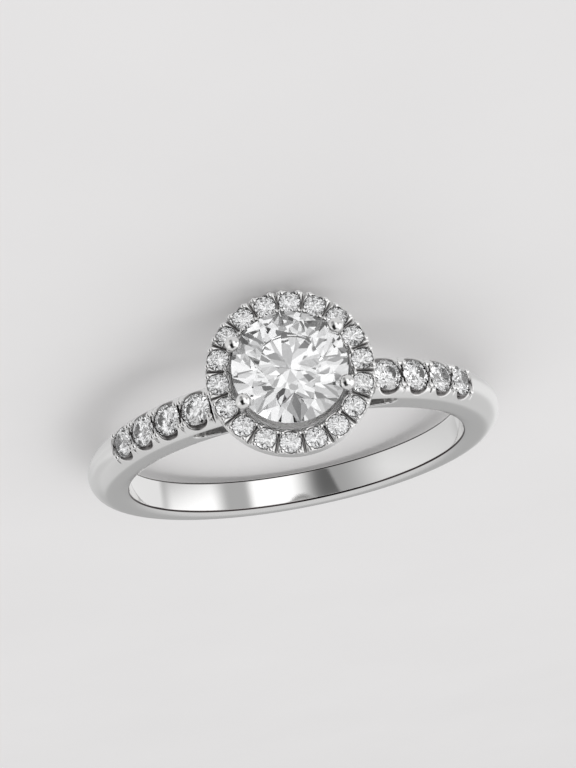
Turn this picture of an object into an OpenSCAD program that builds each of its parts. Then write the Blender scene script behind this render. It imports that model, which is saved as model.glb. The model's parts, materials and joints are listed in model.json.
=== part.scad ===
// Halo ring: a round brilliant inside a ring of small brilliants, with a row of stones on each shoulder.
// It is drawn standing, the head up along +Z and the finger along Y, and is then laid on its side,
// where the halo's lower edge and the back of the band both touch the surface. Millimetres.

/* [Finger and band] */
// Inside diameter, the finger size
bore_d = 17; // [15:0.1:20]
// Width of the band along the finger
band_w = 2; // [1.7:0.05:2.6]
// Thickness of the band at the back
back_t = 1.7; // [1.4:0.05:2.2]
// Thickness that the band's outer circle has under the head
front_t = 2.1; // [1.7:0.05:2.6]
// Width of the band's flat inner face
inner_face_w = 1.6; // [1.3:0.05:1.65]
// Depth from the inner face at which the band reaches its full width
side_depth = 0.8; // [0.6:0.05:0.9]
// Radius of the rounding that widens the band's sides
side_round = 2.4; // [1.8:0.1:4]

/* [Shoulders] */
// Stones on each shoulder
shoulder_count = 4; // [2:1:5]
// Diameter of a shoulder stone
shoulder_stone_d = 1.43; // [1.2:0.05:1.6]
// Space between two shoulder stones
shoulder_gap = 0.18; // [0.14:0.01:0.4]
// Distance from the halo's rim out to the first shoulder stone's centre
shoulder_start = 0.68; // [0.5:0.05:1.2]
// How far the centre of the shoulders' arc lies above the finger's centre
shoulder_rise = 1.2; // [1:0.05:1.4]
// Radius of the shoulders' crest less the radius of the finger hole
crest_t = 1.38; // [1.3:0.02:1.6]
// Rounding of the shoulders' long edges, more than the thickness of the arch
shoulder_round = 0.8; // [0.75:0.01:0.85]
// How far the girdles of the shoulder stones lie below the crest
stone_sink = 0.18; // [0.1:0.01:0.24]
// Thickness of the shoulders' arch above the slot
arch_t = 0.7; // [0.6:0.01:0.74]
// Depth of the scallop under each shoulder stone, below its girdle
scallop_depth = 0.25; // [0.15:0.01:0.4]
// Radius of the scallop
scallop_r = 0.6; // [0.5:0.01:0.7]
// Distance of the scallop's inner end from the middle of the band
scallop_start = 0.62; // [0.5:0.01:0.7]

/* [Slot beside the head] */
// Thickness of the band below the slot, under the head
floor_t = 0.7; // [0.5:0.05:0.9]
// Height of the slot's flat floor above the top of the finger hole
slot_floor = 0.05; // [0:0.01:0.15]
// Distance from the halo's rim out to the centre of the slot's round end
slot_reach = 0.65; // [0.4:0.05:0.9]

/* [Head] */
// Diameter of the centre stone
centre_d = 5.05; // [4.4:0.05:6]
// Height of the centre stone's girdle above the finger hole
centre_lift = 5.2; // [4.8:0.05:6]
// Drop from the centre stone's girdle to the halo stones' girdles
halo_drop = 0.7; // [0.5:0.05:1]
// Diameter of a halo stone
halo_stone_d = 0.92; // [0.8:0.01:1.1]
// Space between two halo stones
halo_gap = 0.185; // [0.16:0.005:0.3]
// Space between the edges of the centre stone and the halo stones, seen from above
halo_inset = 0.195; // [0.15:0.005:0.3]
// Metal left outside the halo stones
halo_rim = 0.06; // [0.04:0.01:0.15]
// Metal left inside the halo stones
halo_lip = 0.1; // [0.06:0.01:0.15]
// Thickness of the halo plate
plate_t = 0.75; // [0.65:0.05:1]
// Height of the halo plate's top above the girdles
plate_over = 0.05; // [0.02:0.01:0.08]
// Rounding of the halo plate's lower edge
foot_r = 0.15; // [0.1:0.01:0.25]
// Thickness of the collet's wall
collet_wall = 0.3; // [0.25:0.05:0.4]
// Radius of the collet's foot
collet_foot_r = 1.45; // [1.2:0.05:1.7]
// Depth of the collet's top below the halo plate's top
collet_sink = 0.1; // [0.05:0.01:0.2]

/* [Claws, grains and saw cuts] */
// Diameter of a claw's wire
claw_d = 0.4; // [0.34:0.01:0.46]
// Diameter of a claw's round tip
claw_tip_d = 0.64; // [0.5:0.01:0.75]
// Distance of the claw tips' centres outside the centre stone's edge
claw_tip_out = 0.045; // [0:0.005:0.1]
// Distance of the claw wires' centres outside the centre stone's edge
claw_out = 0.19; // [0.17:0.005:0.22]
// Claws stand in the halo's saw cut nearest to this angle from the band
claw_turn = 30; // [25:1:45]
// Diameter of a grain on the halo
halo_grain_d = 0.26; // [0.2:0.01:0.3]
// Diameter of a grain on a shoulder
shoulder_grain_d = 0.3; // [0.24:0.01:0.36]
// How far the centre of a halo grain lies inside the edge of its stone
halo_grain_in = 0.055; // [0.03:0.005:0.08]
// How far the centre of a shoulder grain lies inside the edge of its stone
shoulder_grain_in = 0.2; // [0.15:0.01:0.25]
// How far a shoulder grain reaches over the edge of its saw cut
shoulder_grain_over = 0.075; // [0:0.005:0.1]
// How far a shoulder grain's top stands above the crest
shoulder_grain_up = 0.06; // [0:0.01:0.1]
// Width of the saw cuts between the stones
saw_w = 0.1; // [0.08:0.01:0.2]
// Depth of the halo's saw cuts below the girdles
halo_saw_depth = 0.2; // [0.1:0.01:0.3]
// Depth of the shoulders' saw cuts below the girdles
shoulder_saw_depth = 0.2; // [0.1:0.01:0.3]

/* [Cut of the stones, as shares of a stone's diameter] */
// Width of the table
table_share = 0.53; // [0.5:0.01:0.62]
// Height of the crown
crown_share = 0.145; // [0.12:0.005:0.16]
// Thickness of the girdle
girdle_share = 0.03; // [0.02:0.005:0.04]
// Depth of the pavilion
pavilion_share = 0.42; // [0.4:0.005:0.44]
// Radius of the points where the star facets end
star_share = 0.76; // [0.72:0.01:0.8]
// Radius of the points where the lower halves end
lower_half_share = 0.24; // [0.18:0.01:0.35]
// Clearance between a stone and its metal
stone_clear = 0.03; // [0.02:0.005:0.05]

/* [Hidden] */
// Sides that only finish round surfaces smoothly
$fn = 64;
// Extra length of a cut past the surface that it opens
over = 0.5;

bore_r = bore_d / 2;
tube_r = band_w / 2;
centre_r = centre_d / 2;
halo_stone_r = halo_stone_d / 2;
shoulder_stone_r = shoulder_stone_d / 2;
claw_tip_r = claw_tip_d / 2;

// The band's outer circle is larger than the finger hole and lies nearer to the head
outer_r = bore_r + (back_t + front_t) / 2;
outer_up = (front_t - back_t) / 2;

// Halo: stones on a circle round the centre stone, an even number so that both sides match
halo_circle_r = centre_r + halo_inset + halo_stone_r;
halo_count = 2 * round(90 / asin((halo_stone_d + halo_gap) / (2 * halo_circle_r)));
halo_pitch = 360 / halo_count;
halo_out_r = halo_circle_r + halo_stone_r + halo_rim;
halo_in_r = halo_circle_r - halo_stone_r - halo_lip;
centre_h = bore_r + centre_lift;
halo_h = centre_h - halo_drop;
plate_top = halo_h + plate_over;
plate_foot = plate_top - plate_t;
claw_angle = (round(claw_turn / halo_pitch - 0.5) + 0.5) * halo_pitch;

// Shoulders: an arc about a raised centre, with the stones at equal steps along it
crest_r = bore_r + crest_t;
seat_r = crest_r - stone_sink;
shoulder_pitch = 2 * asin((shoulder_stone_d + shoulder_gap) / (2 * seat_r));
shoulder_first = asin((halo_out_r + shoulder_start) / seat_r);

// Slot: its round end touches both the flat floor and the underside of the arch
arch_in_r = crest_r - arch_t;
slot_floor_h = bore_r + slot_floor;
slot_end_x = halo_out_r + slot_reach;
slot_end_r = (arch_in_r ^ 2 - slot_end_x ^ 2 - (slot_floor_h - shoulder_rise) ^ 2)
    / (2 * (slot_floor_h - shoulder_rise + arch_in_r));

// The claw tips rest on the crown of the centre stone
crown_slope = atan(2 * crown_share / (1 - table_share));
girdle_half = centre_d * girdle_share / 2;
claw_tip_h = centre_h + girdle_half + claw_tip_r / cos(crown_slope) - claw_tip_out * tan(crown_slope);
claw_tip_circle_r = centre_r + claw_tip_out;

// Laid on its side, the ring leans until the halo's lower edge and the band's back share one plane
back_tube_r = outer_r - tube_r - outer_up;
halo_foot_reach = halo_out_r - foot_r;
head_span = plate_foot + foot_r + back_tube_r;
lean = atan(halo_foot_reach / head_span)
    - asin((tube_r - foot_r) / norm([halo_foot_reach, head_span]));
ring_up = tube_r + back_tube_r * sin(lean);
table_h = centre_h + girdle_half + centre_d * crown_share;
table_r = centre_r * table_share;
ring_back = back_tube_r * cos(lean) + tube_r;
ring_front = table_h * cos(lean) + table_r * sin(lean);
ring_y = (ring_front - ring_back) / 2;

halo_names = [for (i = [1:halo_count]) str("halo_stone_", i)];
left_names = [for (i = [1:shoulder_count]) str("shoulder_stone_left_", i)];
right_names = [for (i = [1:shoulder_count]) str("shoulder_stone_right_", i)];

// Centre of an arc of a given radius through two points, on the right hand from the first to the second
function arc_centre(from, to, radius) =
    let(chord = to - from, half = norm(chord) / 2)
    (from + to) / 2 + [chord.y, -chord.x] / norm(chord) * sqrt(radius ^ 2 - half ^ 2);

// Turns the standing ring onto its side, touching the surface at the head and at the back
module lay_down() {
    translate([0, ring_y, ring_up]) rotate([90 - lean, 0, 0]) children();
}

// Places a piece at a stone's seat, +Z out of the table
module at_halo(i) {
    rotate([0, 0, (i - 1) * halo_pitch]) translate([halo_circle_r, 0, halo_h]) children();
}

module at_shoulder(side, step) {
    translate([0, 0, shoulder_rise]) rotate([0, side * (shoulder_first + step * shoulder_pitch), 0])
        translate([0, 0, seat_r]) children();
}

// Points at equal angles on a level circle
function ring_points(count, r, z, start) =
    [for (i = [0:count - 1]) [r * cos(start + i * 360 / count), r * sin(start + i * 360 / count), z]];

// Round brilliant: table, 8 stars, 8 kites, 16 upper halves, girdle, 16 lower halves, 8 mains
module brilliant(d) {
    r = d / 2;
    half = 22.5;
    top = d * (girdle_share / 2 + crown_share);
    edge = d * girdle_share / 2;
    culet = -d * (girdle_share / 2 + pavilion_share);
    star_r = r * star_share;
    lower_r = r * lower_half_share;
    star_z = edge + (top - edge) * (1 - star_share * cos(half)) / (1 - table_share);
    lower_z = culet + (-edge - culet) * lower_half_share * cos(half);
    points = concat(
        ring_points(8, r * table_share, top, 0),
        ring_points(8, star_r, star_z, half),
        ring_points(16, r, edge, 0),
        ring_points(16, r, -edge, 0),
        ring_points(8, lower_r, lower_z, half),
        [[0, 0, culet]]
    );
    star = 8;
    upper = 16;
    lower = 32;
    junction = 48;
    tip = 56;
    faces = concat(
        [[for (i = [7:-1:0]) i]],
        [for (i = [0:7]) [i, (i + 1) % 8, star + i]],
        [for (i = [0:7]) [i, star + i, upper + 2 * i, star + (i + 7) % 8]],
        [for (i = [0:7]) [star + i, upper + 2 * i + 1, upper + 2 * i]],
        [for (i = [0:7]) [star + i, upper + (2 * i + 2) % 16, upper + 2 * i + 1]],
        [for (i = [0:15]) [upper + i, upper + (i + 1) % 16, lower + (i + 1) % 16, lower + i]],
        [for (i = [0:7]) [junction + i, lower + 2 * i, lower + 2 * i + 1]],
        [for (i = [0:7]) [junction + i, lower + 2 * i + 1, lower + (2 * i + 2) % 16]],
        [for (i = [0:7]) [tip, junction + (i + 7) % 8, lower + 2 * i, junction + i]]
    );
    polyhedron(points, faces);
}

// Room for a brilliant with its clearance all round
module stone_room(d) {
    r = d / 2 + stone_clear;
    edge = d * girdle_share / 2 + stone_clear;
    rotate_extrude()
        polygon([
            [0, -edge - d * pavilion_share - stone_clear], [r, -edge], [r, edge],
            [r * table_share, edge + d * crown_share], [0, edge + d * crown_share]
        ]);
}

// Disc about the Y axis, as wide as the band, with a half round rim
module band_disc() {
    rotate([90, 0, 0]) rotate_extrude() {
        translate([0, -tube_r]) square([outer_r - tube_r, band_w]);
        intersection() {
            translate([outer_r - tube_r, 0]) circle(tube_r);
            translate([0, -tube_r]) square([outer_r, band_w]);
        }
    }
}

// Disc about the Y axis, as wide as the band, with a flat rim between rounded edges
module crest_disc() {
    round_centre = [crest_r - shoulder_round, tube_r - shoulder_round];
    rotate([90, 0, 0]) rotate_extrude() difference() {
        translate([0, -tube_r]) square([crest_r, band_w]);
        for (side = [0, 1]) mirror([0, side]) translate(round_centre) difference() {
            square(shoulder_round + over);
            circle(shoulder_round);
        }
    }
}

// The finger hole, with the space outside the rounded sides that widen the band from its inner face
module finger_hole() {
    end_h = tube_r + over;
    face_edge = [bore_r, inner_face_w / 2];
    full_width = [bore_r + side_depth, tube_r];
    rotate([90, 0, 0]) rotate_extrude() {
        translate([0, -end_h]) square([bore_r, 2 * end_h]);
        for (side = [0, 1]) mirror([0, side]) difference() {
            translate([bore_r - over, face_edge.y]) square([side_depth + over, end_h - face_edge.y]);
            translate(arc_centre(face_edge, full_width, side_round)) circle(side_round);
        }
    }
}

// The gap under the head, between the band and the arch of the shoulders
module slot() {
    end_h = slot_floor_h + slot_end_r;
    far = 2;
    rotate([90, 0, 0]) linear_extrude(band_w + 2 * over, center = true) {
        difference() {
            intersection() {
                translate([0, shoulder_rise]) circle(arch_in_r);
                polygon([
                    [0, slot_floor_h], [slot_end_x, slot_floor_h], [slot_end_x, end_h],
                    [far * slot_end_x, shoulder_rise + far * (end_h - shoulder_rise)],
                    [-far * slot_end_x, shoulder_rise + far * (end_h - shoulder_rise)],
                    [-slot_end_x, end_h], [-slot_end_x, slot_floor_h]
                ]);
            }
            circle(bore_r + floor_t);
        }
        for (side = [-1, 1]) translate([side * slot_end_x, end_h]) circle(slot_end_r);
    }
}

// Plate that carries the halo stones, with a rounded lower edge
module halo_plate() {
    rotate_extrude() {
        translate([halo_in_r, plate_foot]) square([halo_out_r - foot_r - halo_in_r, plate_t]);
        translate([halo_in_r, plate_foot + foot_r]) square([halo_out_r - halo_in_r, plate_t - foot_r]);
        translate([halo_out_r - foot_r, plate_foot + foot_r]) circle(foot_r);
    }
}

// Conical cup from the arch up to the halo plate
module collet() {
    foot_h = shoulder_rise + arch_in_r + collet_wall;
    out_r = halo_in_r + collet_wall / 2;
    top_h = plate_top - collet_sink;
    rotate_extrude()
        polygon([
            [collet_foot_r - collet_wall, foot_h], [collet_foot_r, foot_h],
            [out_r, plate_foot + foot_r], [out_r, top_h],
            [out_r - collet_wall, top_h], [out_r - collet_wall, plate_foot + foot_r]
        ]);
}

module claws() {
    for (turn = [claw_angle, 180 - claw_angle, 180 + claw_angle, -claw_angle]) rotate([0, 0, turn]) {
        translate([centre_r + claw_out, 0, plate_foot + foot_r])
            cylinder(d = claw_d, h = claw_tip_h - plate_foot - foot_r);
        translate([claw_tip_circle_r, 0, claw_tip_h]) sphere(claw_tip_r);
    }
}

// Four grains round a stone, a pair beside each saw cut
module grains(d, reach_x, reach_y, lift) {
    for (x = [-reach_x, reach_x], y = [-reach_y, reach_y]) translate([x, y, lift]) sphere(d / 2);
}

module halo_grains() {
    beside = (halo_stone_d + halo_gap - saw_w - halo_grain_d) / 2;
    outward = halo_stone_r - halo_grain_in;
    for (i = [1:halo_count]) at_halo(i) grains(halo_grain_d, outward, beside, plate_over);
}

module shoulder_grains() {
    beside = (shoulder_stone_d + shoulder_gap - saw_w - shoulder_grain_d) / 2 + shoulder_grain_over;
    outward = shoulder_stone_r - shoulder_grain_in;
    lift = stone_sink + shoulder_grain_up - shoulder_grain_d / 2;
    for (side = [-1, 1], step = [0:shoulder_count - 1])
        at_shoulder(side, step) grains(shoulder_grain_d, beside, outward, lift);
}

// Open seats, scallops and saw cuts of the shoulders
module shoulder_cuts() {
    for (side = [-1, 1], step = [0:shoulder_count - 1]) at_shoulder(side, step) {
        translate([0, 0, -stone_clear]) cylinder(r = shoulder_stone_r + stone_clear, h = stone_sink + over);
        for (end = [-1, 1]) translate([0, end * scallop_start, scallop_r - scallop_depth])
            rotate([-90 * end, 0, 0]) cylinder(r = scallop_r, h = tube_r);
    }
    for (side = [-1, 1], step = [0:shoulder_count]) at_shoulder(side, step - 0.5)
        translate([-saw_w / 2, -tube_r - over, -shoulder_saw_depth])
            cube([saw_w, band_w + 2 * over, shoulder_saw_depth + stone_sink + over]);
}

module halo_cuts() {
    for (i = [1:halo_count]) rotate([0, 0, (i - 0.5) * halo_pitch])
        translate([halo_in_r + halo_lip / 2, -saw_w / 2, halo_h - halo_saw_depth])
            cube([halo_out_r - halo_in_r, saw_w, halo_saw_depth + over]);
}

module stone_rooms() {
    translate([0, 0, centre_h]) stone_room(centre_d);
    for (i = [1:halo_count]) at_halo(i) stone_room(halo_stone_d);
    for (side = [-1, 1], step = [0:shoulder_count - 1]) at_shoulder(side, step) stone_room(shoulder_stone_d);
}

// All the metal, soldered into one solid
module ring_metal() {
    color("silver") lay_down() difference() {
        union() {
            difference() {
                union() {
                    translate([0, 0, outer_up]) band_disc();
                    translate([0, 0, shoulder_rise]) crest_disc();
                }
                slot();
                shoulder_cuts();
            }
            collet();
            difference() {
                halo_plate();
                halo_cuts();
            }
            claws();
            halo_grains();
            shoulder_grains();
        }
        stone_rooms();
        finger_hole();
    }
}

module centre_stone() {
    color("azure") lay_down() translate([0, 0, centre_h]) brilliant(centre_d);
}

module halo_stone(i) {
    color("lightcyan") lay_down() at_halo(i) brilliant(halo_stone_d);
}

module shoulder_stone(side, i) {
    color("lightcyan") lay_down() at_shoulder(side, i - 1) brilliant(shoulder_stone_d);
}

ring_metal();
centre_stone();
for (i = [1:halo_count])
    halo_stone(i);
for (i = [1:shoulder_count])
    shoulder_stone(-1, i);
for (i = [1:shoulder_count])
    shoulder_stone(1, i);
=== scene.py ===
"""Looks of a halo ring that lies on its side: polished metal with cut seats, claws and grains, and its
27 brilliants."""
import json
import math

import bmesh
import bpy
import numpy as np
from mathutils import Matrix, Vector


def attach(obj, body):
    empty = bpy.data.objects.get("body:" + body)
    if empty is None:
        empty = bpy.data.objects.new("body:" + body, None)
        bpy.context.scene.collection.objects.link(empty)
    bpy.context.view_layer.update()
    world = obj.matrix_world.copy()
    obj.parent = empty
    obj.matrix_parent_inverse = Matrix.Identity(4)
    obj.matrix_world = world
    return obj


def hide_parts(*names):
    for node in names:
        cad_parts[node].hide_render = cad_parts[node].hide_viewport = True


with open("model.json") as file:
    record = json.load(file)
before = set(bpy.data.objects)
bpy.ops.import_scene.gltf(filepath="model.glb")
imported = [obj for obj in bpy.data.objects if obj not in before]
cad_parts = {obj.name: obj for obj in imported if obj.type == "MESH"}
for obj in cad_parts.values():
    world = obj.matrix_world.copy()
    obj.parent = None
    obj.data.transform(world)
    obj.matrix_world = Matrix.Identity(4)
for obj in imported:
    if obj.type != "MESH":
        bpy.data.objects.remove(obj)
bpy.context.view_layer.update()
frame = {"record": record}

# The ring is made standing, in millimetres: the head up along +Z, the finger along Y.
# The finger hole's mount says where it lies and how far it leans.
MM = 0.001
finger_hole = frame["record"]["mounts"][0]
BORE_R = finger_hole["dims"]["r_mm"]
_, AXIS_Y, AXIS_Z = finger_hole["axis"]
LAY_TURN = math.atan2(AXIS_Z, AXIS_Y)
LAY_DOWN = Matrix.Translation(finger_hole["pos_m"]) @ Matrix.Rotation(LAY_TURN, 4, "X") @ Matrix.Scale(MM, 4)

# Band
TUBE_R = 1.0
OUTER_R = 10.4
OUTER_UP = 0.2
INNER_FACE_W = 1.6
SIDE_DEPTH = 0.8
SIDE_ROUND = 2.4
INNER_DOME = 0.015

# Shoulders
SHOULDER_COUNT = 4
SHOULDER_STONE_D = 1.43
SHOULDER_GAP = 0.18
SHOULDER_START = 0.68
SHOULDER_RISE = 1.2
CREST_R = BORE_R + 1.38
SHOULDER_ROUND = 0.8
SHOULDER_BLEND = 0.15
ROUND_BLEND = 0.35
STONE_SINK = 0.18
SCALLOP_DEPTH = 0.25
SCALLOP_R = 0.6
SCALLOP_START = 0.62
SHOULDER_SAW_DEPTH = 0.2
SHOULDER_SAW_OPEN = 0.16
SHOULDER_GRAIN_D = 0.3
SHOULDER_GRAIN_IN = 0.2
SHOULDER_GRAIN_OVER = 0.075
SHOULDER_GRAIN_UP = 0.06

# Slot under the head
ARCH_IN_R = CREST_R - 0.7
FLOOR_R = BORE_R + 0.7
SLOT_FLOOR_H = BORE_R + 0.05
SLOT_REACH = 0.65

# Head
CENTRE_D = 5.05
CENTRE_H = BORE_R + 5.2
HALO_H = CENTRE_H - 0.7
HALO_COUNT = 18
HALO_STONE_D = 0.92
HALO_GAP = 0.185
HALO_INSET = 0.195
HALO_RIM = 0.06
HALO_LIP = 0.1
PLATE_T = 0.75
PLATE_OVER = 0.05
FOOT_R = 0.15
COLLET_WALL = 0.3
COLLET_FOOT_R = 1.45
COLLET_SINK = 0.1
HALO_SAW_DEPTH = 0.2
HALO_GRAIN_D = 0.26
HALO_GRAIN_IN = 0.055
SAW_W = 0.1
CLAW_D = 0.4
CLAW_TIP_D = 0.7
CLAW_TIP_OUT = 0.045
CLAW_OUT = 0.19
CLAW_ANGLE = 30

# Cut of the stones, as shares of a stone's diameter, then the sides of the girdle and the turn between two mains
TABLE_SHARE = 0.53
CROWN_SHARE = 0.145
GIRDLE_SHARE = 0.03
PAVILION_SHARE = 0.42
STAR_SHARE = 0.76
LOWER_HALF_SHARE = 0.24
HALF_SIDES = 4
GIRDLE_SIDES = 16 * HALF_SIDES
MAIN_PITCH = 360 / 8
STONE_CLEAR = 0.03

# How softly the metal's edges are eased
EDGE_SOFT = 0.07
RIM_SOFT = 0.05
CUT_SOFT = 0.04
CLAW_NECK_SOFT = 0.1

# Grids that the metal's meshes are made on. Where nothing is cut the cells are wide, so many times the fine
# ones, and over the ease they change from one to the other. The band's turns are degrees from the head, where
# the gap under it ends, where the set stones start and end, and where the plain band starts.
GRID_EASE = 0.1
BAND_CELL = 0.045
BAND_WIDE = 1.7
BAND_WIDE_Y = 0.5
BAND_FINE_TURN = 0.28
BAND_PLAIN_TURN = 1.5
HEAD_END_TURN = 14
SET_TURNS = (18, 58)
PLAIN_TURN = 66
GALLERY_CELL = 0.04
GALLERY_WIDE = 2.5
STEPS_A_HALO_STONE = 27
CLAW_CELL = 0.04

# Painted shade on the ground of the cuts: how near a cut and how far below the polished surface it starts, how
# dark it gets, and the depth at which it is so
PAINTED_SHADE_NEAR = 0.03
PAINTED_SHADE_START = 0.01
SEAT_SHADE, SEAT_SHADE_DEPTH = 0.6, 0.2
SCALLOP_SHADE, SCALLOP_SHADE_DEPTH = 0.78, 0.04
SHOULDER_SAW_SHADE, SHOULDER_SAW_SHADE_DEPTH = 0.85, 0.15
SLOT_SHADE, SLOT_SHADE_DEPTH = 0.22, 0.03
HALO_SHADE, HALO_SHADE_DEPTH = 0.7, 0.3

# Painted shade under the claws' tips and the grains, by the height over the middle as a share of the ball
BALL_SHADE = 0.5
BALL_SHADE_TOP = 0.06
BALL_SHADE_FADE = 0.24

# Polished white gold: its colour and the colour of its painted shade, and roughness of the mirror, of the band's
# outside, of haze and of the cuts
GOLD_LIGHT = (0.88, 0.875, 0.87)
PAINTED_SHADE_COLOUR = (0.05, 0.04, 0.04)
MIRROR_ROUGHNESS = 0.02
OUTSIDE_ROUGHNESS = 0.18
HAZE_ROUGHNESS = 0.03
CUT_ROUGHNESS = 0.15
OUTSIDE_START = BORE_R + 0.08
OUTSIDE_FULL = BORE_R + 0.2
# Width of the painted shade line along the edges of the band's inner face, and the share of it that is fully
# dark
RIM_SHADE_W = 0.07
RIM_SHADE_CORE = 0.6
HAZE_SCALE = 1.5
SCRATCH_SCALE = 40
SCRATCH_TWIST = 0.6
SCRATCH_STRENGTH = 0.04
SCRATCH_DEPTH = 0.00001

# Diamond
DIAMOND_TINTS = (0.97, 0.975, 0.99), (1.0, 1.0, 1.0)
DIAMOND_IOR = 2.42
TINT_SCALE = 900
HALO_SEED = 3
SHOULDER_SEED = 8

# The photo's camera, from the standing ring: degrees, millimetres, and pixels of a picture 768 high
FRAME_HEIGHT = 768
PIXELS_A_MM = 19.872
CAMERA_DISTANCE = 90
CAMERA_TILT = -16.764
CAMERA_YAW = 2.058
CAMERA_ROLL = 10.329
CAMERA_SHIFT_X = 0.324
CAMERA_SHIFT_Y = -3.221
CLIP_START = 0.005

# Floor and key light, in metres
FLOOR_REACH = 1.5
FLOOR_TINTS = (0.76, 0.75, 0.75), (0.81, 0.80, 0.80)
FLOOR_ROUGHNESS = 0.7
FLOOR_SCALE = 60
KEY_PLACE = (-0.15, -0.1, 0.3)
KEY_SIZE = 0.2
KEY_POWER = 0.15

# The studio that the metal reflects, in degrees. Azimuth 0 is towards the camera, 90 to the picture's left.
# azimuth, elevation, half width, half height, blur of the edges, brightness, slant
STUDIO = (
    (180, 0, 78, 40, 14, 0.62, 0),
    (180, -8, 10, 24, 10, 0.3, 0),
    (180, 12, 9, 14, 6, 0.42, 0),
    (184, 40, 24, 13, 4, 0.66, 0),
    (-60, 17, 52, 31, 4, 1.2, 0),
    (33, -28, 22, 26, 8, 0.28, 0),
    (84, 10, 24, 26, 6, 0.95, 0),
    (26, 62, 46, 12, 4, 0.06, 0),
    (30, 28, 25, 27, 3, 0.01, 0),
    (-140, -14, 32, 12, 6, 0.85, 0),
    (-72, -10, 38, 14, 4, 0.45, 0),
    (-82, -3, 24, 12, 8, 1.25, 0),
    (-13, -8, 16, 14, 12, 1.2, 0),
    (27, -8, 20, 14, 13, 0.13, 0),
    (94, -8, 70, 14, 1.5, 0.38, -0.67),
    (102, -10, 55, 14, 22, 0.88, 0),
    (141, -4, 18, 8, 8, 0.6, 0),
)
STUDIO_BASE = 0.7
EVEN_SKY = 0.9

# The white cards that show inside the stones: their scale, their place, and the levels of their ramp
STONE_CARDS = 3.2
STONE_SHIFT = (0.4, 0.2, 0.7)
STONE_LEVELS = ((0.34, 0.08), (0.42, 0.34), (0.49, 0.62), (0.56, 1.0))
STONE_LIGHT = 1.2

# What follows from those sizes
CENTRE_R = CENTRE_D / 2
HALO_STONE_R = HALO_STONE_D / 2
SHOULDER_STONE_R = SHOULDER_STONE_D / 2
HALO_PITCH = 360 / HALO_COUNT
HALO_CIRCLE_R = CENTRE_R + HALO_INSET + HALO_STONE_R
HALO_OUT_R = HALO_CIRCLE_R + HALO_STONE_R + HALO_RIM
HALO_IN_R = HALO_CIRCLE_R - HALO_STONE_R - HALO_LIP
PLATE_TOP = HALO_H + PLATE_OVER
PLATE_FOOT = PLATE_TOP - PLATE_T
SEAT_R = CREST_R - STONE_SINK
SHOULDER_PITCH = 2 * math.degrees(math.asin((SHOULDER_STONE_D + SHOULDER_GAP) / (2 * SEAT_R)))
SHOULDER_FIRST = math.degrees(math.asin((HALO_OUT_R + SHOULDER_START) / SEAT_R))
SLOT_END_X = HALO_OUT_R + SLOT_REACH
SLOT_END_R = (ARCH_IN_R**2 - SLOT_END_X**2 - (SLOT_FLOOR_H - SHOULDER_RISE) ** 2) / (
    2 * (SLOT_FLOOR_H - SHOULDER_RISE + ARCH_IN_R)
)
CROWN_SLOPE = math.atan(2 * CROWN_SHARE / (1 - TABLE_SHARE))
CLAW_TIP_R = CLAW_TIP_D / 2
CLAW_TIP_H = (
    CENTRE_H
    + CENTRE_D * GIRDLE_SHARE / 2
    + CLAW_TIP_R / math.cos(CROWN_SLOPE)
    - CLAW_TIP_OUT * math.tan(CROWN_SLOPE)
)


# Distances to the metal's surface, negative inside, for arrays of points in the standing ring

def smooth_max(a, b, soft):
    """The larger of two distances, with the edge between them eased over the length soft."""
    ease = np.maximum(soft - np.abs(a - b), 0) / soft
    return np.maximum(a, b) + ease**2 * soft / 4


def smooth_min(a, b, soft):
    """The smaller of two distances, with the corner between them filled over the length soft."""
    return -smooth_max(-a, -b, soft)


def cone_room(rho, w, d):
    """Room for a stone of diameter d: its pavilion below, open above; w is the height over the girdle."""
    r = d / 2 + STONE_CLEAR
    edge = d * GIRDLE_SHARE / 2 + STONE_CLEAR
    depth = d * PAVILION_SHARE + STONE_CLEAR
    slope = math.atan2(r, depth)
    cone = rho * math.cos(slope) - (w + edge + depth) * math.sin(slope)
    return np.minimum(np.maximum(cone, w + edge), np.maximum(rho - r, -edge - w))


def side_flare_centre():
    """Centre of the arc that widens the band from its inner face to its full width."""
    start = np.array([BORE_R, INNER_FACE_W / 2])
    end = np.array([BORE_R + SIDE_DEPTH, TUBE_R])
    chord = end - start
    half = np.hypot(*chord) / 2
    return (start + end) / 2 + np.array([chord[1], -chord[0]]) / (2 * half) * math.sqrt(SIDE_ROUND**2 - half**2)


def slot(x, y, z):
    """The gap under the head between the band and the arch of the shoulders."""
    end_h = SLOT_FLOOR_H + SLOT_END_R
    side_x, side_z = SLOT_END_X, end_h - SHOULDER_RISE
    side = (side_z * x - side_x * (z - SHOULDER_RISE)) / math.hypot(side_x, side_z)
    gap = np.maximum(np.hypot(x, z - SHOULDER_RISE) - ARCH_IN_R, SLOT_FLOOR_H - z)
    gap = np.maximum(np.maximum(gap, FLOOR_R - np.hypot(x, z)), side)
    return np.minimum(gap, np.hypot(x - SLOT_END_X, z - end_h) - SLOT_END_R)


def shoulder_local(x, z, step):
    """Place along the shoulder's arc and height over the girdle, seen from a stone's seat."""
    turn = math.radians(SHOULDER_FIRST + step * SHOULDER_PITCH)
    z = z - SHOULDER_RISE
    return x * math.cos(turn) - z * math.sin(turn), x * math.sin(turn) + z * math.cos(turn) - SEAT_R


def shoulder_seats(x, y, z):
    """Seats of one shoulder's stones, for x and y from 0 up."""
    seats = np.full(np.shape(x), np.inf)
    for step in range(SHOULDER_COUNT):
        u, w = shoulder_local(x, z, step)
        seats = np.minimum(seats, cone_room(np.hypot(u, y), w, SHOULDER_STONE_D))
    return seats


def scallops(x, y, z):
    """The round cuts under the edges of one shoulder's stones."""
    cuts = np.full(np.shape(x), np.inf)
    for step in range(SHOULDER_COUNT):
        u, w = shoulder_local(x, z, step)
        cut = np.maximum(np.hypot(u, w - SCALLOP_R + SCALLOP_DEPTH) - SCALLOP_R, SCALLOP_START - y)
        cuts = np.minimum(cuts, cut)
    return cuts


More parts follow.
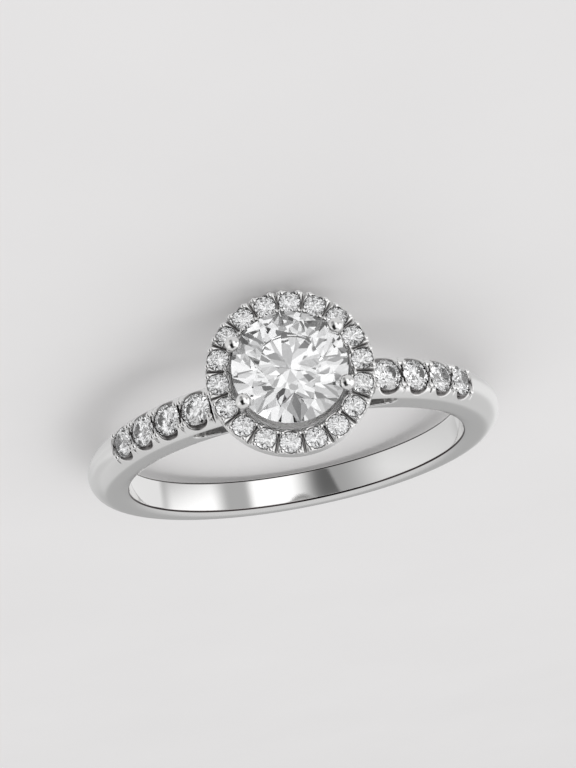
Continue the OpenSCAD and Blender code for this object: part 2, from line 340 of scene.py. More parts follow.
def shoulder_saws(x, y, z):
    """The cuts between one shoulder's stones, which narrow downwards."""
    cuts = np.full(np.shape(x), np.inf)
    for step in range(SHOULDER_COUNT + 1):
        u, w = shoulder_local(x, z, step - 0.5)
        depth = SHOULDER_SAW_DEPTH + w
        cuts = np.minimum(cuts, np.maximum(np.abs(u) - SHOULDER_SAW_OPEN * depth, -depth))
    return cuts


def outside_band(x, y, z):
    """Outside of the band: half round at the back, flatter with rounded edges where it becomes a shoulder."""
    from_band = np.hypot(x, z - OUTER_UP) - OUTER_R
    from_crest = np.hypot(x, z - SHOULDER_RISE) - CREST_R
    crest_share = np.clip(0.5 + (from_band - from_crest) / (2 * ROUND_BLEND), 0, 1)
    crest_share = crest_share**2 * (3 - 2 * crest_share)
    round_r = TUBE_R + (SHOULDER_ROUND - TUBE_R) * crest_share
    across = smooth_min(from_band, from_crest, SHOULDER_BLEND) + round_r
    along = y - TUBE_R + round_r
    corner = np.hypot(np.maximum(across, 0), np.maximum(along, 0))
    return corner + np.minimum(np.maximum(across, along), 0) - round_r


def plain_band(x, y, z):
    """The band and the shoulders before anything is cut into them."""
    rho = np.hypot(x, z)
    arc_r, arc_y = side_flare_centre()
    sides = np.hypot(np.minimum(rho, arc_r) - arc_r, y - arc_y) - SIDE_ROUND
    inner_face = BORE_R + INNER_DOME * (y / (INNER_FACE_W / 2)) ** 2
    return smooth_max(smooth_max(outside_band(x, y, z), sides, EDGE_SOFT), inner_face - rho, RIM_SOFT)


def band(x, y, z):
    """The band and the shoulders with their slot, seats, scallops and saw cuts."""
    x, y = np.abs(x), np.abs(y)
    metal = smooth_max(plain_band(x, y, z), -slot(x, y, z), EDGE_SOFT)
    for cut in (shoulder_seats, scallops, shoulder_saws):
        metal = smooth_max(metal, -cut(x, y, z), CUT_SOFT)
    return metal


def halo_cuts(x, y, z):
    """Seats and saw cuts of the halo, folded into one stone's share of the circle."""
    rho = np.hypot(x, y)
    half = math.radians(HALO_PITCH / 2)
    turn = np.abs(np.mod(np.arctan2(y, x) + half, 2 * half) - half)
    seat = cone_room(np.hypot(rho * np.cos(turn) - HALO_CIRCLE_R, rho * np.sin(turn)), z - HALO_H, HALO_STONE_D)
    saw = np.maximum(rho * np.sin(half - turn) - SAW_W / 2, HALO_H - HALO_SAW_DEPTH - z)
    saw = np.maximum(saw, HALO_IN_R + HALO_LIP / 2 - rho)
    return np.minimum(seat, saw)


def plain_plate(x, y, z):
    """The halo plate before its seats and saw cuts, rounded at its foot."""
    rho = np.hypot(x, y)
    outer = HALO_OUT_R - FOOT_R
    lower = PLATE_FOOT + FOOT_R
    outside = np.hypot(np.maximum(rho - outer, 0), np.maximum(lower - z, 0)) - FOOT_R
    outside = np.where((rho < outer) & (z > lower), np.maximum(rho - outer, lower - z) - FOOT_R, outside)
    return smooth_max(smooth_max(outside, z - PLATE_TOP, CUT_SOFT), HALO_IN_R - rho, CUT_SOFT)


def segment(p, q, start, end):
    """Distance from the points (p, q) to a straight line between two points."""
    along = np.array(end) - np.array(start)
    share = np.clip(((p - start[0]) * along[0] + (q - start[1]) * along[1]) / (along @ along), 0, 1)
    return np.hypot(p - start[0] - share * along[0], q - start[1] - share * along[1])


def collet(x, y, z):
    """Conical cup from the arch up to the halo plate, with a straight collar."""
    rho = np.hypot(x, y)
    half = COLLET_WALL / 2
    foot = (COLLET_FOOT_R - half, SHOULDER_RISE + ARCH_IN_R + COLLET_WALL)
    bend = (HALO_IN_R, PLATE_FOOT + FOOT_R)
    top = (HALO_IN_R, PLATE_TOP - COLLET_SINK - half)
    return np.minimum(segment(rho, z, foot, bend), segment(rho, z, bend, top)) - half


def gallery(x, y, z):
    """The halo plate on its collet."""
    plate = smooth_max(plain_plate(x, y, z), -halo_cuts(x, y, z), CUT_SOFT)
    return smooth_min(plate, collet(x, y, z), EDGE_SOFT)


def claw(x, y, z):
    """A wire with a round tip that leans in over the stone's edge."""
    wire_x = CENTRE_R + CLAW_OUT
    along = np.clip(z, PLATE_FOOT + FOOT_R, CLAW_TIP_H)
    wire = np.hypot(np.hypot(x - wire_x, y), z - along) - CLAW_D / 2
    ball = np.sqrt((x - CENTRE_R - CLAW_TIP_OUT) ** 2 + y**2 + (z - CLAW_TIP_H) ** 2) - CLAW_TIP_R
    return smooth_min(wire, ball, CLAW_NECK_SOFT)


# Meshes from those distances

def corner_slices(axis):
    """The four places of a cell's edges that run along an axis, as slices of the grid."""
    ends = (slice(None, -1), slice(1, None))
    for a in ends:
        for b in ends:
            places = [a, b]
            places.insert(axis, slice(None))
            yield tuple(places)


def skin(distance, stations, to_xyz, closed):
    """Points and quads of the surface where distance is zero, on a grid of stations that may close on itself
    along its first axis. Each cell that the surface crosses has one point, which is drawn onto the surface."""
    points = np.stack(to_xyz(*np.meshgrid(*stations, indexing="ij")), -1)
    if closed:
        points = np.concatenate([points, points[:1]])
    field = distance(points[..., 0], points[..., 1], points[..., 2])
    shape = tuple(n - 1 for n in field.shape)
    total = np.zeros(shape + (3,))
    crossings = np.zeros(shape, int)
    edges = []
    for axis in range(3):
        low = tuple(slice(None, -1) if a == axis else slice(None) for a in range(3))
        high = tuple(slice(1, None) if a == axis else slice(None) for a in range(3))
        a, b = field[low], field[high]
        crossed = (a < 0) != (b < 0)
        share = np.where(crossed, a / np.where(crossed, a - b, 1), 0)[..., None]
        place = np.where(crossed[..., None], points[low] + share * (points[high] - points[low]), 0)
        for corner in corner_slices(axis):
            total += place[corner]
            crossings += crossed[corner]
        edges.append((crossed, a < 0))
    used = crossings > 0
    index = np.full(shape, -1)
    index[used] = np.arange(used.sum())
    quads = []
    for axis, (crossed, starts_inside) in enumerate(edges):
        i, j, k = np.nonzero(crossed)
        at = [i, j, k]
        first, second = [a for a in range(3) if a != axis]
        keep = np.ones(len(i), bool)
        for a in (first, second):
            if a == 0 and closed:
                keep &= at[a] < shape[0]
            else:
                keep &= (at[a] > 0) & (at[a] < shape[a])
        at = [c[keep] for c in at]
        cells = []
        for back_first, back_second in ((1, 1), (0, 1), (0, 0), (1, 0)):
            cell = list(at)
            cell[first] = cell[first] - back_first
            cell[second] = cell[second] - back_second
            cells.append(index[tuple(cell)])
        quad = np.stack(cells, 1)
        turned = starts_inside[i[keep], j[keep], k[keep]] ^ (axis == 1)
        quad[turned] = quad[turned][:, ::-1]
        quads.append(quad)
    return draw_onto(distance, total[used] / crossings[used][:, None]), np.concatenate(quads)


def slope(distance, points, reach=1e-3):
    """Gradient of the distance at each point."""
    parts = []
    for axis in np.eye(3) * reach:
        ahead, behind = points + axis, points - axis
        parts.append((distance(*ahead.T) - distance(*behind.T)) / (2 * reach))
    return np.stack(parts, 1)


def draw_onto(distance, points, rounds=4, longest=0.02, flattest=0.2):
    """Moves each point straight onto the surface in a few short steps."""
    for _ in range(rounds):
        gradient = slope(distance, points)
        size = np.maximum((gradient**2).sum(1), flattest)
        step = np.clip(distance(*points.T) / size, -longest, longest)
        points = points - step[:, None] * gradient
    return points


def spaced(knots, steps, samples=4000):
    """Stations from the first knot to the last, whose spacing runs through the given steps at the knots."""
    fine = np.linspace(knots[0], knots[-1], samples)
    density = 1 / np.interp(fine, knots, steps)
    count = np.concatenate([[0], np.cumsum((density[1:] + density[:-1]) / 2 * np.diff(fine))])
    return np.interp(np.linspace(0, count[-1], math.ceil(count[-1]) + 1), count, fine)


def set_painted_shade(mesh, recess):
    """Stores how much shade is painted on each point, for the metal's material."""
    mesh.attributes.new("recess", "FLOAT", "POINT").data.foreach_set("value", recess.astype(np.float32))


def mesh_from(name, points, faces, recess):
    """A mesh with its faces turned outwards."""
    first, second, third = (points[faces[:, i]] for i in range(3))
    volume = (first * np.cross(second, third)).sum()
    if volume < 0:
        faces = faces[:, ::-1]
    mesh = bpy.data.meshes.new(name)
    mesh.vertices.add(len(points))
    mesh.vertices.foreach_set("co", points.ravel())
    mesh.loops.add(faces.size)
    mesh.loops.foreach_set("vertex_index", faces.ravel())
    mesh.polygons.add(len(faces))
    mesh.polygons.foreach_set("loop_start", np.arange(len(faces)) * faces.shape[1])
    mesh.update(calc_edges=True)
    mesh.validate()
    mesh.shade_smooth()
    set_painted_shade(mesh, recess)
    return mesh


def add_piece(name, mesh, material, finish, *nodes):
    """Lays a mesh of the standing ring down and shows it in place of its CAD nodes. The finish is not used."""
    mesh.transform(LAY_DOWN)
    mesh.materials.clear()
    mesh.materials.append(material)
    piece = bpy.data.objects.new(name, mesh)
    bpy.context.scene.collection.objects.link(piece)
    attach(piece, "root")
    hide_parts(*nodes)


# Cut stones

def level_ring(count, r, z, start=0.0):
    """Points spaced evenly on a level circle, the first at start degrees."""
    turns = [math.radians(start + i * 360 / count) for i in range(count)]
    return [Vector((r * math.cos(t), r * math.sin(t), z)) for t in turns]


def height_on(plane, point):
    """Height at which the upright through a point meets the plane of three points."""
    a, b, c = plane
    normal = (b - a).cross(c - a)
    return a.z - (normal.x * (point.x - a.x) + normal.y * (point.y - a.y)) / normal.z


def brilliant(name, d):
    """Round brilliant: table, 8 stars, 8 kites, 32 halves and 8 mains, with a round girdle whose edges follow
    the facets that meet it."""
    r = d / 2
    edge = d * GIRDLE_SHARE / 2
    top = edge + d * CROWN_SHARE
    culet = -edge - d * PAVILION_SHARE
    lean = math.cos(math.radians(MAIN_PITCH / 2))
    star_z = edge + (top - edge) * (1 - STAR_SHARE * lean) / (1 - TABLE_SHARE)
    lower_z = culet + (-edge - culet) * LOWER_HALF_SHARE * lean
    table = level_ring(8, r * TABLE_SHARE, top)
    star = level_ring(8, r * STAR_SHARE, star_z, MAIN_PITCH / 2)
    junction = level_ring(8, r * LOWER_HALF_SHARE, lower_z, MAIN_PITCH / 2)
    rims = []
    for z, inner in ((edge, star), (-edge, junction)):
        rim = level_ring(GIRDLE_SIDES, r, z)
        for i, point in enumerate(rim):
            half = i // HALF_SIDES
            ends = [rim[half * HALF_SIDES], rim[(half + 1) * HALF_SIDES % GIRDLE_SIDES]]
            if i % HALF_SIDES:
                point.z = height_on([inner[half // 2], *[Vector((e.x, e.y, z)) for e in ends]], point)
        rims.append(rim)
    points = table + star + rims[0] + rims[1] + junction + [Vector((0, 0, culet))]
    star_0, upper_0, lower_0, junction_0 = 8, 16, 16 + GIRDLE_SIDES, 16 + 2 * GIRDLE_SIDES
    tip = junction_0 + 8
    upper = [upper_0 + i for i in range(GIRDLE_SIDES)] + [upper_0]
    lower = [lower_0 + i for i in range(GIRDLE_SIDES)] + [lower_0]
    faces = [list(range(8))]
    for i in range(8):
        before = (i + 7) % 8
        kite = 2 * i * HALF_SIDES
        faces.append([i, star_0 + i, (i + 1) % 8])
        faces.append([i, star_0 + before, upper[kite], star_0 + i])
        faces.append([tip, junction_0 + i, lower[kite], junction_0 + before])
        for start in (kite, kite + HALF_SIDES):
            faces.append([star_0 + i] + upper[start : start + HALF_SIDES + 1])
            faces.append([junction_0 + i] + lower[start : start + HALF_SIDES + 1][::-1])
    facets = len(faces)
    for i in range(GIRDLE_SIDES):
        faces.append([lower[i], lower[i + 1], upper[i + 1], upper[i]])
    mesh = bpy.data.meshes.new(name)
    mesh.from_pydata(points, [], faces)
    mesh.validate()
    mesh.update()
    for face in mesh.polygons:
        face.use_smooth = face.index >= facets
    return mesh


# Pieces that repeat, set out on their seats by one node tree

def turned(axis, degrees):
    """A turn about one of the standing ring's axes."""
    return Matrix.Rotation(math.radians(degrees), 4, axis)


HALO_SEATS = [
    turned("Z", i * HALO_PITCH) @ Matrix.Translation((HALO_CIRCLE_R, 0, HALO_H)) for i in range(HALO_COUNT)
]
SHOULDER_SEATS = [
    Matrix.Translation((0, 0, SHOULDER_RISE))
    @ turned("Y", side * (SHOULDER_FIRST + step * SHOULDER_PITCH))
    @ Matrix.Translation((0, 0, SEAT_R))
    for side in (-1, 1)
    for step in range(SHOULDER_COUNT)
]
CLAW_SEATS = [turned("Z", turn) for turn in (CLAW_ANGLE, 180 - CLAW_ANGLE, 180 + CLAW_ANGLE, -CLAW_ANGLE)]


def grain_seats(seats, reach_x, reach_y, lift):
    """Four seats round each stone's seat."""
    return [
        seat @ Matrix.Translation((x, y, lift))
        for seat in seats
        for x in (-reach_x, reach_x)
        for y in (-reach_y, reach_y)
    ]


class Tree:
    """A node tree in which each node is made by one method: its type, its settings, then its sockets."""

    def __init__(self, tree):
        self.tree = tree
        tree.nodes.clear()

    def node(self, kind, settings=None, sockets=None):
        made = self.tree.nodes.new(kind)
        for key, value in (settings or {}).items():
            if key == "stops":
                self.set_stops(made.color_ramp, value)
            else:
                setattr(made, key, value)
        for key, value in (sockets or {}).items():
            self.feed(made.inputs[key], value)
        return made

    def feed(self, socket, value):
        if isinstance(value, Value):
            value = value.socket
        if isinstance(value, bpy.types.NodeSocket):
            self.tree.links.new(value, socket)
        else:
            socket.default_value = value

    @staticmethod
    def set_stops(ramp, stops):
        while len(ramp.elements) < len(stops):
            ramp.elements.new(1.0)
        for element, (position, level) in zip(ramp.elements, stops):
            element.position = position
            element.color = (level, level, level, 1)


class Value:
    """A socket whose expressions add their own Math nodes."""

    def __init__(self, tree, socket):
        self.tree = tree
        self.socket = socket

    def maths(self, operation, *values):
        made = self.tree.node("ShaderNodeMath", {"operation": operation}, dict(enumerate(values)))
        return Value(self.tree, made.outputs[0])

    def __add__(self, other):
        return self.maths("ADD", self, other)

    def __sub__(self, other):
        return self.maths("SUBTRACT", self, other)

    def __rsub__(self, other):
        return self.maths("SUBTRACT", other, self)

    def __mul__(self, other):
        return self.maths("MULTIPLY", self, other)

    def __pow__(self, other):
        return self.maths("POWER", self, other)

    def __abs__(self):
        return self.maths("ABSOLUTE", self)

    __radd__ = __add__
    __rmul__ = __mul__

    def smooth_step(self, low, high):
        """0 up to low, 1 from high on, and a smooth rise between them."""
        made = self.tree.node(
            "ShaderNodeMapRange",
            {"interpolation_type": "SMOOTHSTEP"},
            {"Value": self, "From Min": low, "From Max": high},
        )
        return Value(self.tree, made.outputs["Result"])


def seat_tree():
    """Sets a piece on every point of its input, turned as the point says and spun about its own axis."""
    group = bpy.data.node_groups.new("set_on_seats", "GeometryNodeTree")
    for name, kind in (
        ("Seats", "NodeSocketGeometry"), ("Piece", "NodeSocketObject"), ("Size", "NodeSocketFloat"),
        ("Spin", "NodeSocketFloat"), ("Seed", "NodeSocketInt"), ("Material", "NodeSocketMaterial"),
    ):
        group.interface.new_socket(name, in_out="INPUT", socket_type=kind)
    group.interface.new_socket("Pieces", in_out="OUTPUT", socket_type="NodeSocketGeometry")
    tree = Tree(group)
    given = tree.node("NodeGroupInput").outputs
    piece = tree.node("GeometryNodeObjectInfo", None, {"Object": given["Piece"]})
    turn = tree.node("GeometryNodeInputNamedAttribute", {"data_type": "FLOAT_VECTOR"}, {"Name": "turn"})
    seated = tree.node("FunctionNodeEulerToRotation", None, {0: turn.outputs[0]})
    largest, seed = 3, 8  # sockets of the random value
    angle = tree.node(
        "FunctionNodeRandomValue", {"data_type": "FLOAT"}, {largest: given["Spin"], seed: given["Seed"]}
    )
    about_z = tree.node("ShaderNodeCombineXYZ", None, {"Z": angle.outputs[1]})
    spun = tree.node("FunctionNodeEulerToRotation", None, {0: about_z.outputs[0]})
    both = tree.node(
        "FunctionNodeRotateRotation",
        {"rotation_space": "LOCAL"},
        {0: seated.outputs[0], 1: spun.outputs[0]},
    )
    set_out = tree.node(
        "GeometryNodeInstanceOnPoints",
        None,
        {
            "Points": given["Seats"], "Instance": piece.outputs["Geometry"],
            "Rotation": both.outputs[0], "Scale": given["Size"],
        },
    )
    solid = tree.node("GeometryNodeRealizeInstances", None, {0: set_out.outputs[0]})
    finished = tree.node(
        "GeometryNodeSetMaterial", None, {"Geometry": solid.outputs[0], "Material": given["Material"]}
    )
    tree.node("NodeGroupOutput", None, {0: finished.outputs[0]})
    return group


SEAT_TREE = seat_tree()


def set_on_seats(name, piece_mesh, seats, material, size=1.0, spin=0.0, seed=0):
    """One mesh of copies of a piece, one on each seat, in the standing ring's millimetres."""
    piece = bpy.data.objects.new(name + "_piece", piece_mesh)
    bpy.context.scene.collection.objects.link(piece)
    points = bpy.data.meshes.new(name + "_seats")
    points.from_pydata([seat.translation for seat in seats], [], [])
    turns = [part for seat in seats for part in seat.to_euler()]
    points.attributes.new("turn", "FLOAT_VECTOR", "POINT").data.foreach_set("vector", turns)
    cloud = bpy.data.objects.new(name + "_cloud", points)
    bpy.context.scene.collection.objects.link(cloud)
    modifier = cloud.modifiers.new("seats", "NODES")
    modifier.node_group = SEAT_TREE
    values = {"Piece": piece, "Size": size, "Spin": spin, "Seed": seed, "Material": material}
    for item in SEAT_TREE.interface.items_tree:
        if item.in_out == "INPUT" and item.name in values:
            modifier[item.identifier] = values[item.name]
    view = bpy.context.evaluated_depsgraph_get()
    mesh = bpy.data.meshes.new_from_object(
        cloud.evaluated_get(view), preserve_all_data_layers=True, depsgraph=view
    )
    mesh.name = name
    for made in (cloud, piece):
        bpy.data.objects.remove(made)
    return mesh


# Materials

def standing_place(tree):
    """The point's X, Y and Z in the standing ring's millimetres."""
    back = LAY_DOWN.inverted()
    turned_back = tree.node(
        "ShaderNodeMapping",
        {"vector_type": "POINT"},
        {
            "Vector": tree.node("ShaderNodeTexCoord").outputs["Object"],
            "Location": back.translation,
            "Rotation": back.to_euler(),
            "Scale": back.to_scale(),
        },
    )
    parts = tree.node("ShaderNodeSeparateXYZ", None, {0: turned_back.outputs[0]})
    return turned_back.outputs[0], [Value(tree, parts.outputs[i]) for i in range(3)]


def noise(tree, place, scale, detail, distortion=0.0):
    """Noise from 0 to 1 over a place in space."""
    made = tree.node(
        "ShaderNodeTexNoise",
        None,
        {"Vector": place, "Scale": scale, "Detail": detail, "Distortion": distortion},
    )
    return Value(tree, made.outputs[0])


def new_material(name):
    """A material with an empty node tree."""
    material = bpy.data.materials.new(name)
    material.use_nodes = True
    return material, Tree(material.node_tree)


def mixed(tree, share, first, second):
    """A colour that runs from the first to the second by a share."""
    first_colour, second_colour, result = 6, 7, 2  # sockets of the mix
    made = tree.node(
        "ShaderNodeMix",
        {"data_type": "RGBA"},
        {0: share, first_colour: (*first, 1), second_colour: (*second, 1)},
    )
    return made.outputs[result]


def white_gold(name, outside_roughness):
    """Polished metal: mirror bright inside the band, softer outside, dull and darkened by painted shade in the
    cuts and under the balls, and with a fine painted shade line along the edges of the band's inner face."""
    material, tree = new_material(name)
    place, (x, y, z) = standing_place(tree)
    from_axis = (x * x + z * z) ** 0.5
    outside = from_axis.smooth_step(OUTSIDE_START, OUTSIDE_FULL)
    # A painted shade line along the edges of the band's inner face
    rim_r, rim_y = from_axis - (BORE_R + INNER_DOME), abs(y) - INNER_FACE_W / 2
    rim_away = (rim_r * rim_r + rim_y * rim_y) ** 0.5
    rim = 1 - rim_away.smooth_step(RIM_SHADE_CORE * RIM_SHADE_W, RIM_SHADE_W)
    recess = Value(tree, tree.node("ShaderNodeAttribute", {"attribute_name": "recess"}).outputs["Fac"])
    haze = noise(tree, place, HAZE_SCALE, 3)
    scratches = noise(tree, place, SCRATCH_SCALE, 2, SCRATCH_TWIST)
    # Painted shade: the cuts, the balls' undersides and the line along the inner face's edges are darkened
    # towards the shade colour
    colour = mixed(tree, recess.maths("MAXIMUM", recess, rim), GOLD_LIGHT, PAINTED_SHADE_COLOUR)
    roughness = MIRROR_ROUGHNESS + outside * outside_roughness + haze * HAZE_ROUGHNESS + recess * CUT_ROUGHNESS
    bump = tree.node(
        "ShaderNodeBump", None, {"Strength": SCRATCH_STRENGTH, "Distance": SCRATCH_DEPTH, "Height": scratches}
    )
    surface = tree.node(
        "ShaderNodeBsdfPrincipled",
        None,
        {"Base Color": colour, "Metallic": 1.0, "Roughness": roughness, "Normal": bump.outputs[0]},
    )
    tree.node("ShaderNodeOutputMaterial", None, {"Surface": surface.outputs[0]})
    return material


def diamond():
    """Clear stone with polished facets."""
    material, tree = new_material("diamond")
    place = tree.node("ShaderNodeTexCoord").outputs["Object"]
    tint = noise(tree, place, TINT_SCALE, 2)
    surface = tree.node(
        "ShaderNodeBsdfPrincipled",
        None,
        {
            "Base Color": mixed(tree, tint, *DIAMOND_TINTS),
            "Roughness": 0.0,
            "IOR": DIAMOND_IOR,
            "Transmission Weight": 1.0,
        },
    )
    tree.node("ShaderNodeOutputMaterial", None, {"Surface": surface.outputs[0]})
    return material


BAND_GOLD = white_gold("band_gold", OUTSIDE_ROUGHNESS)
CLAW_GOLD = white_gold("claw_gold", 0.0)
DIAMOND = diamond()


# The pieces

# The band's cuts and the painted shade in each: how dark it gets and the depth at which it is so
BAND_CUTS = (
    (shoulder_seats, SEAT_SHADE, SEAT_SHADE_DEPTH),
    (scallops, SCALLOP_SHADE, SCALLOP_SHADE_DEPTH),
    (shoulder_saws, SHOULDER_SAW_SHADE, SHOULDER_SAW_SHADE_DEPTH),
    (slot, SLOT_SHADE, SLOT_SHADE_DEPTH),
)


def painted_shade_from(cut, depth, full_depth):
    """How much painted shade each point near a cut gets by its depth, from 0 on the polished outside to 1."""
    return np.where(cut < PAINTED_SHADE_NEAR, np.clip((depth - PAINTED_SHADE_START) / full_depth, 0, 1) ** 0.5, 0)


def under_ball(height):
    """The painted shade under a ball's widest circle; the height over its centre is a share of its diameter."""
    return BALL_SHADE * np.clip((BALL_SHADE_TOP - height) / BALL_SHADE_FADE, 0, 1)


def round_the_finger(turn, rho, y):
    """Places from the turn about the finger, which starts at the head, the radius and the place across."""
    return rho * np.sin(turn), y, rho * np.cos(turn)


def round_the_head(turn, rho, z):
    """Places from the turn about the head's axis, the radius and the height."""
    return rho * np.cos(turn), rho * np.sin(turn), z


def straight(x, y, z):
    """Places as they are."""
    return x, y, z


def make_band():
    """Band and shoulders, on a round grid that is fine where the stones are set."""
    fine, plain = BAND_FINE_TURN, BAND_PLAIN_TURN
    half = spaced(
        (0, HEAD_END_TURN, *SET_TURNS, PLAIN_TURN, 180), (2 * fine, 2 * fine, fine, fine, plain, plain)
    )
    turn = np.radians(np.concatenate([half[:-1], 360 - half[:0:-1]]))
    cell, wide = BAND_CELL, BAND_WIDE * BAND_CELL
    low, top = BORE_R - 2 * cell, SHOULDER_RISE + CREST_R + 2 * cell
    rho = spaced(
        (low, BORE_R + GRID_EASE, BORE_R + 2 * GRID_EASE, FLOOR_R, FLOOR_R + GRID_EASE, top),
        (cell, cell, wide, wide, cell, cell),
    )
    across = spaced((0, BAND_WIDE_Y, BAND_WIDE_Y + GRID_EASE, TUBE_R + 2 * cell), (wide, wide, cell, cell))
    y = np.concatenate([-across[:0:-1], across])
    points, faces = skin(band, (turn, rho, y), round_the_finger, closed=True)
    folded = (np.abs(points[:, 0]), np.abs(points[:, 1]), points[:, 2])
    depth = -plain_band(*folded)
    # Painted shade in the band's cuts, by how deep each point lies
    recess = [shade * painted_shade_from(cut(*folded), depth, full) for cut, shade, full in BAND_CUTS]
    return mesh_from("polished_band", points, faces, np.maximum.reduce(recess))


def make_gallery():
    """Halo plate on its collet, on a round grid about the head's axis."""
    cell, wide = GALLERY_CELL, GALLERY_WIDE * GALLERY_CELL
    steps = HALO_COUNT * STEPS_A_HALO_STONE
    turn = np.arange(steps) * 2 * math.pi / steps
    rho = spaced(
        (
            COLLET_FOOT_R - COLLET_WALL - wide, HALO_IN_R - 3 * GRID_EASE, HALO_IN_R - 2 * GRID_EASE,
            HALO_OUT_R + 2 * cell,
        ),
        (wide, wide, cell, cell),
    )
    z = spaced(
        (SHOULDER_RISE + ARCH_IN_R, PLATE_FOOT - 2 * GRID_EASE, PLATE_FOOT - GRID_EASE, PLATE_TOP + 2 * cell),
        (wide, wide, cell, cell),
    )
    points, faces = skin(gallery, (turn, rho, z), round_the_head, closed=True)
    # Painted shade in the halo's seats and saw cuts
    recess = HALO_SHADE * painted_shade_from(halo_cuts(*points.T), -plain_plate(*points.T), HALO_SHADE_DEPTH)
    return mesh_from("halo_gallery", points, faces, recess)


def make_claw():
    """One claw, over the +X side of the head."""
    cell = CLAW_CELL
    wide = CLAW_TIP_R + 2 * cell
    middle = CENTRE_R + CLAW_TIP_OUT
    x = np.arange(middle - wide, middle + wide + CLAW_OUT, cell)
    y = np.linspace(-wide, wide, 2 * math.ceil(wide / cell) + 1)
    z = np.arange(PLATE_FOOT - CLAW_D, CLAW_TIP_H + wide, cell)
    points, faces = skin(claw, (x, y, z), straight, closed=False)
    # Painted shade under the claw's tip
    return mesh_from("claw", points, faces, under_ball((points[:, 2] - CLAW_TIP_H) / CLAW_TIP_D))


def make_grain():
    """A small ball of unit diameter."""
    mesh = bpy.data.meshes.new("grain")
    shape = bmesh.new()
    bmesh.ops.create_icosphere(shape, subdivisions=3, radius=0.5)
    shape.to_mesh(mesh)
    shape.free()
    mesh.shade_smooth()
    # Painted shade under the grain's widest circle
    set_painted_shade(mesh, under_ball(np.array([point.co.z for point in mesh.vertices])))
    return mesh


HALO_NODES = [f"halo_stone_{i + 1}" for i in range(HALO_COUNT)]
SHOULDER_NODES = [f"shoulder_stone_{side}_{i + 1}" for side in ("left", "right") for i in range(SHOULDER_COUNT)]

add_piece("polished_band", make_band(), BAND_GOLD, "white_metal", "ring_metal")
add_piece("halo_gallery", make_gallery(), BAND_GOLD, "white_metal", "ring_metal")
claws = set_on_seats("claw_set", make_claw(), CLAW_SEATS, CLAW_GOLD)
add_piece("claw_set", claws, CLAW_GOLD, "white_metal", "ring_metal")
halo_beside = (HALO_STONE_D + HALO_GAP - SAW_W - HALO_GRAIN_D) / 2
halo_grains = grain_seats(HALO_SEATS, HALO_STONE_R - HALO_GRAIN_IN, halo_beside, PLATE_OVER)
add_piece(
    "halo_grains",
    set_on_seats("halo_grains", make_grain(), halo_grains, CLAW_GOLD, HALO_GRAIN_D),
    CLAW_GOLD, "white_metal", "ring_metal",
)
shoulder_beside = (SHOULDER_STONE_D + SHOULDER_GAP - SAW_W - SHOULDER_GRAIN_D) / 2 + SHOULDER_GRAIN_OVER
shoulder_grains = grain_seats(
    SHOULDER_SEATS,
    shoulder_beside,
    SHOULDER_STONE_R - SHOULDER_GRAIN_IN,
    STONE_SINK + SHOULDER_GRAIN_UP - SHOULDER_GRAIN_D / 2,
)
add_piece(
    "shoulder_grains",
    set_on_seats("shoulder_grains", make_grain(), shoulder_grains, CLAW_GOLD, SHOULDER_GRAIN_D),
    CLAW_GOLD, "white_metal", "ring_metal",
)
centre = brilliant("centre_brilliant", CENTRE_D)
centre.transform(Matrix.Translation((0, 0, CENTRE_H)))
add_piece("centre_brilliant", centre, DIAMOND, "centre_brilliant", "centre_stone")
small = brilliant("small_brilliant", 1.0)
add_piece(
    "halo_brilliants",
    set_on_seats("halo_brilliants", small, HALO_SEATS, DIAMOND, HALO_STONE_D, math.tau, HALO_SEED),
    DIAMOND, "small_brilliant", *HALO_NODES,
)
add_piece(
    "shoulder_brilliants",
    set_on_seats(
        "shoulder_brilliants", small, SHOULDER_SEATS, DIAMOND, SHOULDER_STONE_D, math.tau, SHOULDER_SEED
    ),
    DIAMOND, "small_brilliant", *SHOULDER_NODES,
)


# Camera, floor and light

def photo_camera():
    """The photograph's view of the head, with the ring on its side: the far half of the band lies below the
    head in the picture, so the camera is turned over."""
    tilt, yaw, roll = (math.radians(a) for a in (CAMERA_TILT, CAMERA_YAW, CAMERA_ROLL))
    face_on = Matrix(((-1, 0, 0), (0, -1, 0), (0, 0, 1)))
    turn = Matrix.Rotation(roll, 3, "Z") @ Matrix.Rotation(yaw, 3, "Y") @ Matrix.Rotation(tilt, 3, "X")
    turn = turn @ face_on
    from_ring = turn.transposed()
    place = from_ring @ Vector((-CAMERA_SHIFT_X, -CAMERA_SHIFT_Y, CAMERA_DISTANCE))
    lying = LAY_DOWN.to_3x3().normalized()
    camera = bpy.data.cameras.new("photo_camera")
    camera.lens = camera.sensor_width * PIXELS_A_MM * CAMERA_DISTANCE / FRAME_HEIGHT
    camera.clip_start = CLIP_START
    holder = bpy.data.objects.new("photo_camera", camera)
    holder.matrix_world = Matrix.Translation(LAY_DOWN @ place) @ (lying @ from_ring).to_4x4()
    bpy.context.scene.collection.objects.link(holder)
    bpy.context.scene.camera = holder


photo_camera()


def make_floor():
    """A plain pale surface. Mirror reflections look past it to the studio."""
    mesh = bpy.data.meshes.new("floor")
    corners = [(-FLOOR_REACH, -FLOOR_REACH, 0), (FLOOR_REACH, -FLOOR_REACH, 0)]
    corners += [(FLOOR_REACH, FLOOR_REACH, 0), (-FLOOR_REACH, FLOOR_REACH, 0)]
    mesh.from_pydata(corners, [], [(0, 1, 2, 3)])
    material, tree = new_material("pale_floor")
    place = tree.node("ShaderNodeTexCoord").outputs["Object"]
    mottle = noise(tree, place, FLOOR_SCALE, 4)
    surface = tree.node(
        "ShaderNodeBsdfPrincipled",
        None,
        {"Base Color": mixed(tree, mottle, *FLOOR_TINTS), "Roughness": FLOOR_ROUGHNESS},
    )
    tree.node("ShaderNodeOutputMaterial", None, {"Surface": surface.outputs[0]})
    mesh.materials.append(material)
    floor = bpy.data.objects.new("floor", mesh)
    floor.visible_glossy = False
    floor.visible_transmission = False
    bpy.context.scene.collection.objects.link(floor)


make_floor()


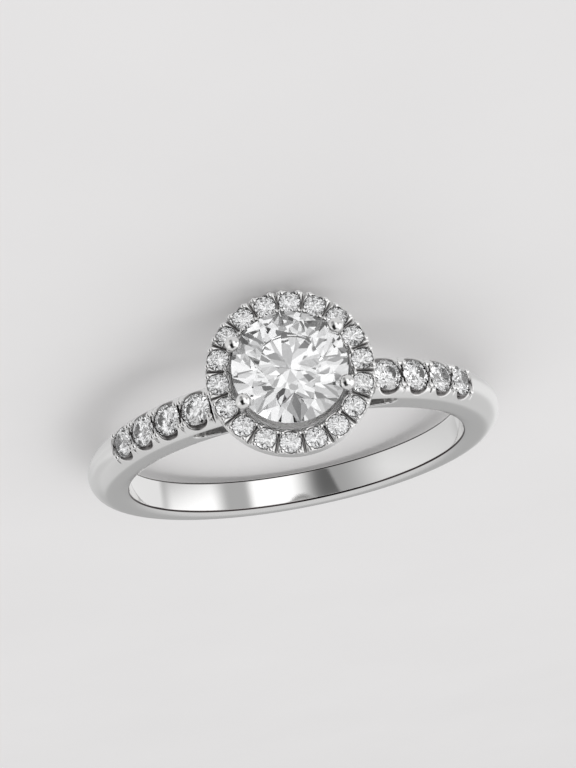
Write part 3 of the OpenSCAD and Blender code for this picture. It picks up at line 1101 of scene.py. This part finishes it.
def studio_light(tree, azimuth, elevation):
    """Softboxes and dark cards, placed by direction. A later card covers the ones before it."""
    level = STUDIO_BASE
    for card_az, card_el, half_w, half_h, blur, brightness, slant in STUDIO:
        across = azimuth - card_az + (elevation - card_el) * slant
        beside = abs(across.maths("WRAP", across, 180, -180))
        above = abs(elevation - card_el)
        in_width = 1 - beside.smooth_step(half_w - blur, half_w + blur)
        in_height = 1 - above.smooth_step(half_h - blur, half_h + blur)
        level = level + (brightness - level) * (in_width * in_height)
    return level


def stone_light(tree, direction):
    """White cards with grey and dark gaps, which give the cut stones their contrast."""
    moved = tree.node("ShaderNodeVectorMath", {"operation": "ADD"}, {0: direction, 1: STONE_SHIFT})
    cards = noise(tree, moved.outputs[0], STONE_CARDS, 1)
    ramp = tree.node("ShaderNodeValToRGB", {"stops": STONE_LEVELS}, {0: cards})
    return Value(tree, ramp.outputs[0]) * STONE_LIGHT


def make_world():
    """An even sky for the floor, the studio for the metal and the white cards for the stones."""
    world = bpy.data.worlds.new("studio")
    world.use_nodes = True
    tree = Tree(world.node_tree)
    direction = tree.node("ShaderNodeTexCoord").outputs["Generated"]
    parts = tree.node("ShaderNodeSeparateXYZ", None, {0: direction})
    x, y, z = (Value(tree, parts.outputs[i]) for i in range(3))
    degree = 180 / math.pi
    azimuth = x.maths("ARCTAN2", x, y * -1) * degree
    elevation = z.maths("ARCSINE", z) * degree
    ray = tree.node("ShaderNodeLightPath").outputs
    glossy, through = Value(tree, ray["Is Glossy Ray"]), Value(tree, ray["Is Transmission Ray"])
    level = (studio_light(tree, azimuth, elevation) - EVEN_SKY) * glossy + EVEN_SKY
    level = (stone_light(tree, direction) - level) * through + level
    sky = tree.node("ShaderNodeBackground", None, {"Color": (1, 1, 1, 1), "Strength": level})
    tree.node("ShaderNodeOutputWorld", None, {"Surface": sky.outputs[0]})
    bpy.context.scene.world = world


make_world()


def soft_light(name, place, target, size, power):
    """A light that casts the soft shadows and doesn't show in the metal."""
    light = bpy.data.lights.new(name, "AREA")
    light.shape = "RECTANGLE"
    light.size = light.size_y = size
    light.energy = power
    holder = bpy.data.objects.new(name, light)
    holder.visible_glossy = False
    towards = Vector(target) - Vector(place)
    holder.matrix_world = Matrix.Translation(place) @ towards.to_track_quat("-Z", "Y").to_matrix().to_4x4()
    bpy.context.scene.collection.objects.link(holder)


soft_light("key", KEY_PLACE, (0, 0, 0), KEY_SIZE, KEY_POWER)

bpy.context.scene.view_settings.view_transform = "Standard"
